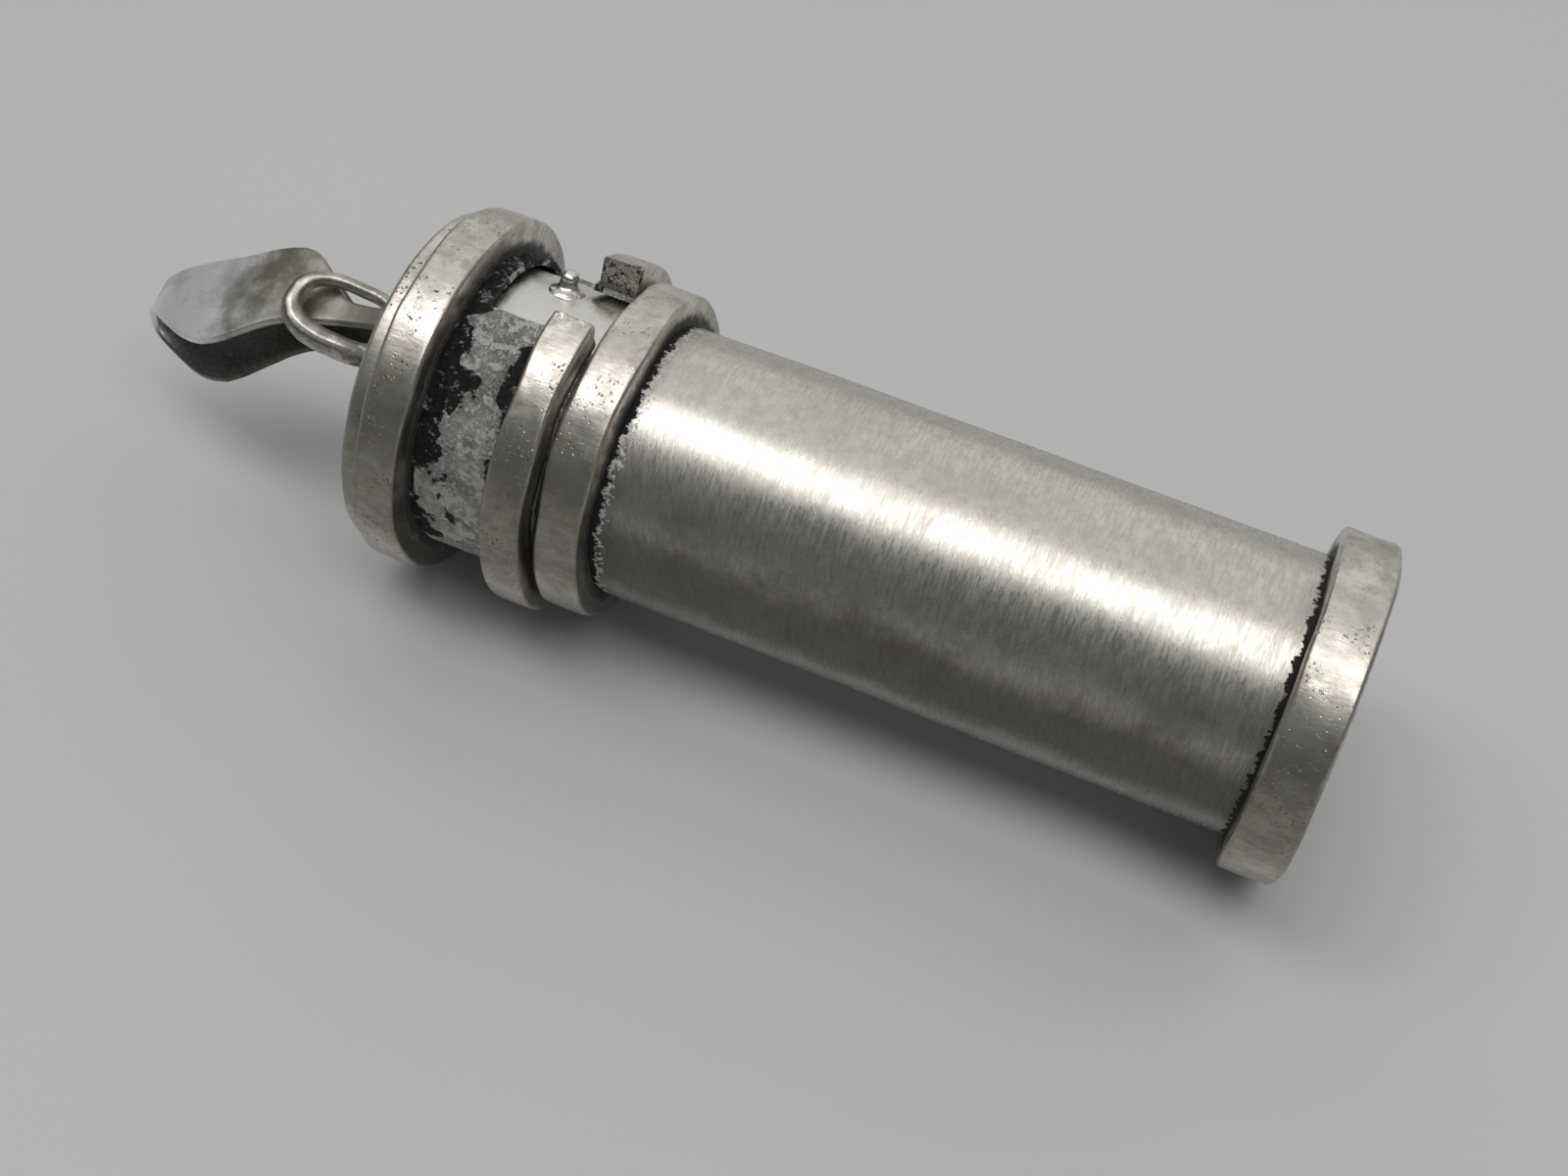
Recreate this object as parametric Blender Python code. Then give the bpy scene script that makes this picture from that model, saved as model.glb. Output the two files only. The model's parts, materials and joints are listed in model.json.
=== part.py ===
"""Training whistle: a silver tube with a bayonet cap, a wire ring and a strap bail.

Everything is modelled round the X axis, with the origin in the middle of the tube's foot end, the
foot toward +X and the cap toward -X. Angles round the axis start at the top and run toward the near
side, -Y. One empty carries all of it, lays it down on its two outer bands and sets it over the origin.
"""

from math import atan2, cos, pi, radians, sin, tanh

import bmesh
import bpy
from mathutils import Euler, Matrix, Vector
from mathutils.geometry import interpolate_bezier

# Tube and the pieces soldered to it
TUBE_R = 0.0070
TUBE_WALL = 0.00075
TUBE_FOOT_X = -0.00105
TUBE_NECK_X = -0.04585
FOOT_DISC_R = 0.0069
FOOT_DISC_X = (-0.0007, 0.0)
FOOT_BAND_R = 0.0085
FOOT_BAND_X = (-0.0029, 0.0)
RIM_BAND_R = 0.00845
RIM_BAND_X = (-0.03757, -0.03513)
BAND_BORE_R = 0.0073
PIN_R = 0.00045
PIN_X = -0.0412
PIN_ANGLE = radians(-21.9)
PIN_BASE_R = 0.0073
PIN_TOP_R = 0.00805

# Cap
SLEEVE_R = 0.0076
SLEEVE_BORE_R = 0.00725
SLEEVE_X = (-0.0466, -0.03795)
LOCK_BAND_R = 0.00915
LOCK_BAND_X = (-0.04001, -0.03785)
FLANGE_R = 0.0093
FLANGE_X = (-0.04675, -0.04435)
CAP_BAND_BORE_R = 0.0079
CAP_DISC_R = 0.00875
CAP_DISC_X = (-0.0476, -0.04705)
WASHER_R = 0.0068
WASHER_X = (-0.0466, -0.04615)

# Bayonet window in the sleeve, and the gap in the lock band
WINDOW_NEAR = radians(8.4)
WINDOW_END = radians(-62.0)
WINDOW_X = (-0.0435, -0.0402)
GAP_NEAR = radians(8.5)
GAP_FAR = radians(-27.0)

# Wire ring, an oval standing on the cap's end plate
RING_FOOT = Vector((-0.04905, -0.0011, 0.0030))
RING_SLOPE = radians(25.0)
RING_LEAN = 0.2
RING_HALF_WIDTH = 0.0016
RING_HALF_LENGTH = 0.00256
OUTER_SQUARENESS = 2.4
INNER_SQUARENESS = 3.6
WIRE_R = 0.0005
WIRE_TAPER = 0.00014
STUB_ANGLE = radians(228.0)
STUB_R = (0.00058, 0.00066, 0.0008)
STUB_GAP = 0.0003

# Strap bail, a closed strap folded round the wire of the ring
EYE_ALONG_WIRE = 0.00035
EYE_R = 0.0009
BAIL_YAW = 0.041
BAIL_PITCH = 0.372
BAIL_ROLL = 0.338
BAIL_LENGTH = 0.0151
CREST = (0.0083, 0.00195)
BELLY = (0.0062, -0.00035)
TIP_RISE = 0.0005
STRAP_THICK = 0.0005
STRAP_LEAN = 0.00068
STATIONS = (0.0, 0.07, 0.17, 0.24, 0.38, 0.66, 1.0)
FAR_EDGE = (0.0006, 0.0006, 0.0008, 0.0018, 0.0031, 0.0019, 0.0006)
NEAR_EDGE = (0.0006, 0.0006, 0.0007, 0.0009, 0.0014, 0.0033, 0.0012)

# How it lies, and the edges of the bands
LIE = atan2(FLANGE_R - FOOT_BAND_R, 0.5 * (FOOT_BAND_X[0] - FLANGE_X[0] - FLANGE_X[1]))
EDGE = 0.00025
ROUND = 64
OUTER = 32


def clear_scene():
    for obj in list(bpy.data.objects):
        bpy.data.objects.remove(obj, do_unlink=True)


def make_material(name, color, metallic, roughness):
    material = bpy.data.materials.new(name)
    material.use_nodes = True
    shader = material.node_tree.nodes["Principled BSDF"]
    shader.inputs["Base Color"].default_value = (*color, 1.0)
    shader.inputs["Metallic"].default_value = metallic
    shader.inputs["Roughness"].default_value = roughness
    return material


def silver(name, shade, roughness):
    return make_material(name, (shade, shade * 0.97, shade * 0.93), 1.0, roughness)


def add_empty(name, parent, location):
    empty = bpy.data.objects.new(name, None)
    empty.empty_display_size = 0.004
    empty.location = location
    empty.parent = parent
    bpy.context.collection.objects.link(empty)
    return empty


def add_mesh(name, bm, material, parent):
    bmesh.ops.recalc_face_normals(bm, faces=bm.faces)
    mesh = bpy.data.meshes.new(name)
    bm.to_mesh(mesh)
    bm.free()
    mesh.materials.append(material)
    mesh.shade_smooth()
    mesh.set_sharp_from_angle(angle=radians(32.0))
    obj = bpy.data.objects.new(name, mesh)
    obj.parent = parent
    bpy.context.collection.objects.link(obj)
    return obj


def around(x, r, angle):
    """The point at radius r, an angle from the top toward the near side."""
    return Vector((x, -r * sin(angle), r * cos(angle)))


def flats(r, steps):
    """Corner radius of a polygon whose flats lie at radius r."""
    return r / cos(pi / steps)


def loft(bm, sections, closed):
    """Skin a row of matching sections, round to the first or with an end face at each end."""
    rows = [[bm.verts.new(point) for point in section] for section in sections]
    pairs = list(zip(rows, rows[1:]))
    if closed:
        pairs.append((rows[-1], rows[0]))
    else:
        bm.faces.new(rows[0])
        bm.faces.new(rows[-1])
    for one, two in pairs:
        for i in range(len(one)):
            j = (i + 1) % len(one)
            bm.faces.new((one[i], one[j], two[j], two[i]))


def turned(profile, steps):
    """A full ring from its section, given as (x, r); a flat of the ring faces down."""
    bm = bmesh.new()
    angles = [2 * pi * (i + 0.5) / steps for i in range(steps)]
    loft(bm, [[around(x, r, a) for x, r in profile] for a in angles], True)
    return bm


def turned_part(profile, start, end, steps):
    """Part of a ring from one angle to another, with flat ends."""
    bm = bmesh.new()
    angles = [start + (end - start) * i / steps for i in range(steps + 1)]
    loft(bm, [[around(x, r, a) for x, r in profile] for a in angles], False)
    return bm


def plate(x_range, r, edge, steps):
    """A round plate across the axis with both of its edges eased."""
    low, high = x_range
    outline = [(low, r - edge), (low + edge, r), (high - edge, r), (high, r - edge)]
    angles = [2 * pi * (i + 0.5) / steps for i in range(steps)]
    bm = bmesh.new()
    loft(bm, [[around(x, radius, a) for a in angles] for x, radius in outline], False)
    return bm


def box_profile(x_range, bore, r):
    low, high = x_range
    return [(low, bore), (low, r), (high, r), (high, bore)]


def band_profile(x_range, bore, r):
    """Section of flat wire: plain bore, rounded outer corners."""
    low, high = x_range
    nip = EDGE * 0.29
    corner = [(low, r - EDGE), (low + nip, r - nip), (low + EDGE, r)]
    other = [(high - EDGE, r), (high - nip, r - nip), (high, r - EDGE)]
    return [(low, bore)] + corner + other + [(high, bore)]


def combine(target, tool, operation):
    """Boolean one object with another and drop the second."""
    modifier = target.modifiers.new(operation, "BOOLEAN")
    modifier.operation = operation
    modifier.solver = "EXACT"
    modifier.object = tool
    bpy.context.view_layer.update()
    graph = bpy.context.evaluated_depsgraph_get()
    result = bpy.data.meshes.new_from_object(target.evaluated_get(graph))
    target.modifiers.clear()
    old = target.data
    target.data = result
    bpy.data.meshes.remove(old)
    bpy.data.objects.remove(tool, do_unlink=True)


def build_tube(root):
    metal = silver("aged_silver", 0.62, 0.32)
    bright = silver("band_silver", 0.68, 0.3)
    tube_x = (TUBE_NECK_X, TUBE_FOOT_X)
    wall = turned(box_profile(tube_x, TUBE_R - TUBE_WALL, TUBE_R), ROUND)
    add_mesh("main_tube", wall, metal, root)
    foot_plate = plate(FOOT_DISC_X, FOOT_DISC_R, 0.0001, ROUND)
    add_mesh("foot_disc", foot_plate, silver("foot_silver", 0.6, 0.36), root)
    foot = turned(band_profile(FOOT_BAND_X, BAND_BORE_R, flats(FOOT_BAND_R, OUTER)), OUTER)
    add_mesh("foot_band", foot, bright, root)
    rim = turned(band_profile(RIM_BAND_X, BAND_BORE_R, flats(RIM_BAND_R, OUTER)), OUTER)
    add_mesh("rim_band", rim, silver("rim_silver", 0.68, 0.3), root)
    add_mesh("lock_pin", pin_shape(), silver("pin_silver", 0.7, 0.25), root)


def pin_shape():
    """A round-headed pin standing out of the neck."""
    top = PIN_TOP_R
    outline = [(PIN_BASE_R, PIN_R), (top - 0.0003, PIN_R)]
    outline += [(top - 0.0001, 0.75 * PIN_R), (top, 0.35 * PIN_R)]
    side = Vector((1.0, 0.0, 0.0))
    cross = around(0.0, 1.0, PIN_ANGLE).cross(side)
    bm = bmesh.new()
    rows = [disc_points(around(PIN_X, r, PIN_ANGLE), side, cross, wide, 16) for r, wide in outline]
    loft(bm, rows, False)
    return bm


def disc_points(centre, one, two, radius, count):
    angles = [2 * pi * i / count for i in range(count)]
    return [centre + radius * (cos(a) * one + sin(a) * two) for a in angles]


def build_cap(cap):
    sleeve = turned(box_profile(SLEEVE_X, SLEEVE_BORE_R, SLEEVE_R), ROUND)
    body = add_mesh("cap_sleeve", sleeve, silver("rough_silver", 0.55, 0.5), cap)
    cut_window(body, cap, WINDOW_X, WINDOW_END)
    cut_window(body, cap, (WINDOW_X[1] - 0.0004, SLEEVE_X[1] + 0.001), GAP_FAR)
    profile = band_profile(LOCK_BAND_X, CAP_BAND_BORE_R, flats(LOCK_BAND_R, 40))
    lock = turned_part(profile, GAP_NEAR, 2 * pi + GAP_FAR, 36)
    add_mesh("lock_band", lock, silver("lock_silver", 0.68, 0.3), cap)
    flange = turned(band_profile(FLANGE_X, CAP_BAND_BORE_R, flats(FLANGE_R, OUTER)), OUTER)
    add_mesh("flange_band", flange, silver("flange_silver", 0.66, 0.32), cap)
    add_mesh("cap_disc", plate(CAP_DISC_X, CAP_DISC_R, 0.0002, ROUND), silver("disc_silver", 0.6, 0.36), cap)


def cut_window(body, parent, x_range, end):
    """Open the sleeve from the window's near side to an end angle."""
    tool = turned_part(box_profile(x_range, 0.0066, 0.0083), WINDOW_NEAR, end, 14)
    combine(body, add_mesh("window_cutter", tool, body.data.materials[0], parent), "DIFFERENCE")
    body.data.shade_smooth()
    body.data.set_sharp_from_angle(angle=radians(32.0))


def ring_axes():
    """Unit directions of the ring: across it, along it away from the cap, and out of its plane."""
    across = Vector((0.0, cos(RING_SLOPE), sin(RING_SLOPE)))
    upright = Vector((0.0, -sin(RING_SLOPE), cos(RING_SLOPE)))
    along = Vector((-cos(RING_LEAN), 0.0, 0.0)) + sin(RING_LEAN) * upright
    return across, along, across.cross(along)


def squared(value, squareness):
    """Push a sine or cosine outward, toward a squarer oval."""
    return abs(value) ** (2.0 / squareness) * (1.0 if value >= 0 else -1.0)


def ring_point(turn):
    """Centre of the wire; the turn is 0 at the far arm and a quarter turn at the outer bend."""
    across, along, _ = ring_axes()
    square = OUTER_SQUARENESS if sin(turn) >= 0 else INNER_SQUARENESS
    side = RING_HALF_WIDTH * squared(cos(turn), square)
    reach = RING_HALF_LENGTH * (1.0 + squared(sin(turn), square))
    return RING_FOOT + side * across + reach * along


def ring_section(turn):
    _, _, normal = ring_axes()
    run = (ring_point(turn + 0.02) - ring_point(turn - 0.02)).normalized()
    radius = WIRE_R - WIRE_TAPER * cos(turn)
    return disc_points(ring_point(turn), normal, run.cross(normal), radius, 12)


def stub_sections():
    """The solder foot that holds the ring's near side to the cap's end plate."""
    start = ring_point(STUB_ANGLE)
    end = Vector((CAP_DISC_X[0] - STUB_GAP, start.y + 0.0001, start.z - 0.0001))
    one = Vector((0.0, 1.0, 0.0))
    two = Vector((0.0, 0.0, 1.0))
    steps = zip((-0.15, 0.55, 1.0), STUB_R)
    return [disc_points(start.lerp(end, part), one, two, radius, 16) for part, radius in steps]


def build_ring(cap):
    metal = silver("wire_silver", 0.7, 0.28)
    bm = bmesh.new()
    loft(bm, [ring_section(2 * pi * (i + 0.5) / 44) for i in range(44)], True)
    ring = add_mesh("wire_ring", bm, metal, cap)
    tool = bmesh.new()
    loft(tool, stub_sections(), False)
    combine(ring, add_mesh("stub_tool", tool, metal, cap), "UNION")


def eye_centre():
    """Where the bail hangs on the wire: on the ring's inner end, toward its far arm."""
    across, _, _ = ring_axes()
    return RING_FOOT + EYE_ALONG_WIRE * across


def bail_axes():
    """Unit directions of the bail: toward its tip, up out of it, and across the strap."""
    turn = Matrix.Rotation(-BAIL_YAW, 3, "Z") @ Matrix.Rotation(-BAIL_PITCH, 3, "Y")
    turn = turn @ Matrix.Rotation(BAIL_ROLL, 3, "X")
    tip = turn @ Vector((-1.0, 0.0, 0.0))
    up = turn @ Vector((0.0, 0.0, 1.0))
    return tip, up, tip.cross(up)


def bail_line():
    """Centre line of the strap in its own plane: up round the eye, out to the tip and back."""
    eye = 1.33 * EYE_R
    upper = (0.15 * EYE_R, EYE_R)
    lower = (0.15 * EYE_R, -EYE_R)
    tip = (BAIL_LENGTH, TIP_RISE)
    turn_in = CREST[0] + 0.45 * (BAIL_LENGTH - CREST[0])
    legs = [
        (lower, (-eye, -EYE_R), (-eye, EYE_R), upper),
        (upper, (0.0032, EYE_R + 0.0001), (CREST[0] - 0.0038, CREST[1] - 0.0001), CREST),
        (CREST, (turn_in, CREST[1] + 0.0001), (BAIL_LENGTH, TIP_RISE + 0.0016), tip),
        (tip, (BAIL_LENGTH, TIP_RISE - 0.0012), (BELLY[0] + 0.0050, BELLY[1]), BELLY),
        (BELLY, (BELLY[0] - 0.0040, BELLY[1]), (0.0022, -EYE_R), lower),
    ]
    points = []
    for leg, count in zip(legs, (11, 14, 14, 14, 13)):
        corners = [Vector((along, up, 0.0)) for along, up in leg]
        points += interpolate_bezier(*corners, count)[:-1]
    return points


def along_stations(values, part):
    """A smooth value between the stations of the strap."""
    last = len(STATIONS) - 2
    i = max(k for k in range(last + 1) if STATIONS[k] <= part or k == 0)
    span = STATIONS[i + 1] - STATIONS[i]
    u = (part - STATIONS[i]) / span
    before = max(i - 1, 0)
    after = min(i + 2, last + 1)
    rise = (values[i + 1] - values[before]) / (STATIONS[i + 1] - STATIONS[before]) * span
    fall = (values[after] - values[i]) / (STATIONS[after] - STATIONS[i]) * span
    keep = (1 + 2 * u) * (1 - u) ** 2
    ease = u * u * (3 - 2 * u)
    return keep * values[i] + ease * values[i + 1] + u * (1 - u) ** 2 * rise - u * u * (1 - u) * fall


def strap_section(before, here, after):
    """Rounded section of the strap across its centre line."""
    run = (after - before).normalized()
    out = Vector((run.y, -run.x, 0.0))
    part = min(max(here.x / BAIL_LENGTH, 0.0), 1.0)
    lean = STRAP_LEAN * part * tanh((here.y - TIP_RISE) / 0.001)
    far = lean + along_stations(FAR_EDGE, part)
    near = lean - along_stations(NEAR_EDGE, part)
    thick = 0.5 * STRAP_THICK
    nip = 0.4 * thick
    corners = [(far - nip, thick), (far, thick - nip), (far, nip - thick), (far - nip, -thick)]
    corners += [(near + nip, -thick), (near, nip - thick), (near, thick - nip), (near + nip, thick)]
    return [here + Vector((0.0, 0.0, side)) + out * lift for side, lift in corners]


def build_bail(eye):
    tip, up, across = bail_axes()
    turn = Matrix((tip, up, across)).transposed()
    line = bail_line()
    count = len(line)
    sections = []
    for i in range(count):
        section = strap_section(line[i - 1], line[i], line[(i + 1) % count])
        sections.append([turn @ point for point in section])
    bm = bmesh.new()
    loft(bm, sections, True)
    add_mesh("strap_bail", bm, silver("bail_silver", 0.66, 0.34), eye)


def stand_on_origin(root):
    """Lay the whistle down and set the middle of its footprint on the origin."""
    root.rotation_euler = Euler((0.0, LIE, 0.0))
    bpy.context.view_layer.update()
    solids = [obj for obj in bpy.data.objects if obj.type == "MESH"]
    points = [obj.matrix_world @ vert.co for obj in solids for vert in obj.data.vertices]
    low = Vector([min(point[k] for point in points) for k in range(3)])
    high = Vector([max(point[k] for point in points) for k in range(3)])
    root.location = (-0.5 * (low.x + high.x), -0.5 * (low.y + high.y), -low.z)
    bpy.context.view_layer.update()


def build():
    clear_scene()
    root = add_empty("whistle", None, (0.0, 0.0, 0.0))
    slide = add_empty("cap_slide_axis", root, (0.0, 0.0, 0.0))
    cap = add_empty("cap_twist_axis", slide, (0.0, 0.0, 0.0))
    eye = add_empty("bail_axis", cap, eye_centre())
    build_tube(root)
    washer = plate(WASHER_X, WASHER_R, 0.0001, ROUND)
    add_mesh("seal_washer", washer, make_material("seal_leather", (0.2, 0.12, 0.07), 0.0, 0.8), slide)
    build_cap(cap)
    build_ring(cap)
    build_bail(eye)
    stand_on_origin(root)


build()
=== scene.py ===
"""Looks of the training whistle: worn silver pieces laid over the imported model.

Every piece is shaped in millimetres on the whistle's own axis, with its origin in the middle of the
foot end, +X toward the foot and angles measured from the top toward the near side. PLACE then lays
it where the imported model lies.
"""

import json
from math import cos, pi, radians, sin

import bmesh
import bpy
import numpy as np
from mathutils import Matrix, Vector, noise


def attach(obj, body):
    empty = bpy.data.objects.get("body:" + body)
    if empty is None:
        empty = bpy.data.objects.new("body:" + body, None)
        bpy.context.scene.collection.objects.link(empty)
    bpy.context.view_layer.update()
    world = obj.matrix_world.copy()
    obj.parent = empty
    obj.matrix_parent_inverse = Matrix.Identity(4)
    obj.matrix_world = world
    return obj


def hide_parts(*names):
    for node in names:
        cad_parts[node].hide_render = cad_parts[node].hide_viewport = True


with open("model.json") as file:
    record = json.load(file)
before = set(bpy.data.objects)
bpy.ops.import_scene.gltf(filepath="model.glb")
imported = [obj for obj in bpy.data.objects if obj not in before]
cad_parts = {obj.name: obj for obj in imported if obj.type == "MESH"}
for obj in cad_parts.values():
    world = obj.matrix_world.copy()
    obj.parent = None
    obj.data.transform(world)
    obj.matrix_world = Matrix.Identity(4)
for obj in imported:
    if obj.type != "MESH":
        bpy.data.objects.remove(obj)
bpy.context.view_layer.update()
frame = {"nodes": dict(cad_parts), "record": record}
NODES = frame["nodes"]

# The whistle's own axis, from the mount on its foot face
FOOT = frame["record"]["mounts"][0]
ALONG = Vector(FOOT["axis"]).normalized()
ACROSS = Vector((0.0, 1.0, 0.0))
UPWARD = ALONG.cross(ACROSS)
TURN = Matrix((ALONG, ACROSS, UPWARD)).transposed().to_4x4()
PLACE = Matrix.Translation(Vector(FOOT["pos_m"])) @ TURN
MM = 0.001

# Sizes in millimetres
TUBE_R = 7.0
TUBE_BORE = 6.25
TUBE_X = (-45.85, -1.05)
FOOT_BAND_R = 8.5
FOOT_BAND_X = (-2.9, 0.0)
RIM_BAND_R = 8.45
RIM_BAND_X = (-37.57, -35.13)
PIN_X = -41.2
PIN_ANGLE = radians(-21.9)
PIN_R = 0.45
PIN_TOP = 8.05
SLEEVE_R = 7.6
SLEEVE_BORE = 7.25
SLEEVE_X = (-46.6, -37.95)
LOCK_BAND_R = 9.15
LOCK_BAND_X = (-40.01, -37.85)
FLANGE_R = 9.3
FLANGE_X = (-46.75, -44.35)
DISC_R = 8.75
DISC_X = (-47.6, -46.7)
WINDOW_NEAR = radians(8.4)
WINDOW_END = radians(-62.0)
WINDOW_X = (-43.5, -40.2)
GAP_NEAR = radians(8.5)
GAP_FAR = radians(-27.0)
TUBE_LIP = 0.3
FOOT_PLATE_R = 7.35
FOOT_PLATE_X = (-1.1, -0.05)
TUBE_SOLDER = 0.04
SLEEVE_SOLDER = 0.05
STUB_MIDDLE = (-48.0, -1.9, 1.9)
STUB_MOUND_R = 1.25
STUB_MOUND_TOP_R = 0.72
STUB_MOUND_HEIGHT = 0.75
BAIL_EYE = Vector((-49.05, -0.783, 3.148))
BAIL_UP = Vector((-0.3562, -0.3173, 0.8789))

# How finely the skins are divided: points around, and steps in millimetres
TUBE_TURNS = 260
BAND_TURNS = 300
LOCK_TURNS = 290
PLATE_TURNS = 240
PIN_TURNS = 40
MOUND_TURNS = 36
BAND_STEP = 0.16
PLATE_STEP = 0.3
PLATE_CENTRE = 0.02
SLEEVE_STEP = 0.13
SLEEVE_TURN = 0.02
RING_VOXEL = 0.055
STRAP_VOXEL = 0.07

# How much of the lock band's section is left in the rows at its two ends
LOCK_END_KEEP = {0: 0.92, 1: 0.97, -2: 0.98, -1: 0.95}

# Camera on the whistle's own axes, in millimetres
CAMERA_AT = (-8.71, -63.81, 72.25)
CAMERA_RIGHT = Vector((0.91796, 0.38507, 0.09525))
CAMERA_FORWARD = Vector((-0.18239, 0.62295, -0.76070))
CAMERA_LENS = 46.0


# Colours of the silver, of what lies on it and of painted shade, linear
PALE = (0.83, 0.785, 0.715)
GREY = (0.52, 0.475, 0.415)
FROST = (0.87, 0.85, 0.80)
# Painted shade: the dark tone laid low on the silver's near side, round its back, and on the bail's lower
# strap beneath its hinge line
PAINTED_SHADE = (0.075, 0.068, 0.058)
TARNISH = (0.40, 0.34, 0.27)
PIT = (0.10, 0.088, 0.07)
SOOT = (0.012, 0.012, 0.013)
CRUST_PALE = (0.48, 0.46, 0.425)
CRUST_DEEP = (0.22, 0.21, 0.19)
STRAP_PALE = (0.90, 0.89, 0.87)
STRAP_DEEP = (0.66, 0.65, 0.63)
STRAP_STAIN = (0.19, 0.16, 0.105)
WIRE_PALE = (0.58, 0.55, 0.505)
WIRE_DEEP = (0.34, 0.31, 0.27)
WIRE_FOOT = (0.2, 0.185, 0.165)
LEATHER_DEEP = (0.16, 0.09, 0.05)
LEATHER_PALE = (0.26, 0.16, 0.09)
FLOOR_TONES = ((0.60, 0.60, 0.595), (0.63, 0.63, 0.625))


# ---- Shapes ----

def around(x, r, angle):
    """Points at radius r, an angle from the top toward the near side."""
    x, r, angle = np.broadcast_arrays(x, r, angle)
    return np.stack([x, -r * np.sin(angle), r * np.cos(angle)], -1)


def ripple(points, size, seed):
    """Smooth noise between -1 and 1 at each point, with features of about that size in mm."""
    flat = points.reshape(-1, 3) / size + seed
    values = [noise.noise(Vector(p)) for p in flat.tolist()]
    return np.array(values).reshape(points.shape[:-1])


def stretch(start, end, step):
    """Evenly spaced values from start to end, about a step apart."""
    return np.linspace(start, end, max(2, int(round(abs(end - start) / step)) + 1))


def corner(x, r, radius, start, end):
    """Five points of a rounded corner, centred at (x, r), between two angles in degrees."""
    return [(x + radius * cos(a), r + radius * sin(a)) for a in np.radians(np.linspace(start, end, 5))]


def band_section(x_range, bore, r, edge):
    """Section of flat wire, with eased outer corners, as a closed line of (x, r)."""
    low, high = x_range
    line = [(low, a) for a in stretch(bore, r - edge, BAND_STEP)[:-1]]
    line += corner(low + edge, r - edge, edge, 180, 90)
    line += [(a, r) for a in stretch(low + edge, high - edge, BAND_STEP)[1:-1]]
    line += corner(high - edge, r - edge, edge, 90, 0)
    line += [(high, a) for a in stretch(r - edge, bore, BAND_STEP)[1:]]
    return np.array(line)


def skin(name, points, close_rows, close_columns):
    """A mesh over a grid of points in mm."""
    rows, columns, _ = points.shape
    i = np.arange(rows if close_rows else rows - 1)[:, None]
    j = np.arange(columns if close_columns else columns - 1)[None, :]
    down = (i + 1) % rows
    right = (j + 1) % columns
    corners = [i * columns + j, i * columns + right, down * columns + right, down * columns + j]
    faces = np.stack(np.broadcast_arrays(*corners), -1).reshape(-1, 4)
    return raw_mesh(name, points.reshape(-1, 3), faces.tolist())


def raw_mesh(name, points, faces):
    """A mesh in metres from points in millimetres."""
    mesh = bpy.data.meshes.new(name)
    mesh.from_pydata((points * MM).tolist(), [], faces)
    return mesh


def close_up(mesh):
    """Fill any open loops of a mesh and turn its faces outward."""
    bm = bmesh.new()
    bm.from_mesh(mesh)
    bmesh.ops.holes_fill(bm, edges=[e for e in bm.edges if e.is_boundary], sides=0)
    bmesh.ops.recalc_face_normals(bm, faces=bm.faces)
    bm.to_mesh(mesh)
    bm.free()


def show(name, mesh, body, material, replaced, sharp=40.0):
    """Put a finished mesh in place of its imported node; edges past sharp degrees stay crisp."""
    mesh.materials.clear()
    mesh.materials.append(material)
    mesh.shade_smooth()
    mesh.set_sharp_from_angle(angle=radians(sharp))
    piece = bpy.data.objects.new(name, mesh)
    bpy.context.collection.objects.link(piece)
    piece.matrix_world = PLACE
    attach(piece, body)
    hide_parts(replaced)


def push_out(points, amount):
    """Move points away from the whistle's axis."""
    out = points.copy()
    reach = np.linalg.norm(points[..., 1:], axis=-1, keepdims=True)
    out[..., 1:] += points[..., 1:] / np.maximum(reach, 1e-6) * amount[..., None]
    return out


def hammered(points, soft, fine, seed):
    """Low hand-made waves and small dents, always inward of the true size."""
    waves = ripple(points, 5.0, seed)
    dents = ripple(points, 1.1, seed + 20)
    return push_out(points, soft * (waves - 0.5) + fine * (dents - 0.5))


def band_mesh(name, x_range, bore, r, seed, edge=0.24):
    """A soldered ring of flat wire whose sides wander a little."""
    section = band_section(x_range, bore, r, edge)
    angles = np.linspace(0, 2 * pi, BAND_TURNS, endpoint=False)
    points = around(section[None, :, 0], section[None, :, 1], angles[:, None])
    points = hammered(points, 0.05, 0.025, seed)
    points[..., 0] += side_wander(points, x_range, seed)
    mesh = skin(name, points, True, True)
    close_up(mesh)
    return mesh


def side_wander(points, x_range, seed):
    """How far the two sides of a band stray inward along the axis."""
    low, high = x_range
    part = (points[..., 0] - low) / (high - low)
    angle_only = points * np.array([0.0, 1.0, 1.0])
    left = 0.5 + ripple(angle_only, 3.5, seed + 3)
    right = 0.5 + ripple(angle_only, 3.5, seed + 7)
    return 0.13 * (left * (1 - part) - right * part)


def tube_mesh():
    """The drawn tube: slightly uneven outside, plain inside, its neck's lip rounded over."""
    low, high = TUBE_X
    lip = TUBE_LIP
    line = [(high, TUBE_BORE)]
    line += [(a, TUBE_BORE) for a in stretch(high, low + lip, 3.0)[1:]]
    middle = 0.5 * (TUBE_R + TUBE_BORE)
    half = 0.5 * (TUBE_R - TUBE_BORE)
    line += [(low + lip - lip * sin(a), middle - half * cos(a)) for a in np.linspace(0.3, pi - 0.3, 7)]
    line += [(a, TUBE_R) for a in stretch(low + lip, high, 0.2)]
    section = np.array(line)
    angles = np.linspace(0, 2 * pi, TUBE_TURNS, endpoint=False)
    points = around(section[None, :, 0], section[None, :, 1], angles[:, None])
    waves = 0.06 * (ripple(points, 7.0, 3.0) - 0.4) + 0.012 * ripple(points, 2.4, 9.0)
    # Known fault: the faces of this skin point inward; close_up would turn them
    return skin("tube", push_out(points, waves), True, True)


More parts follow.
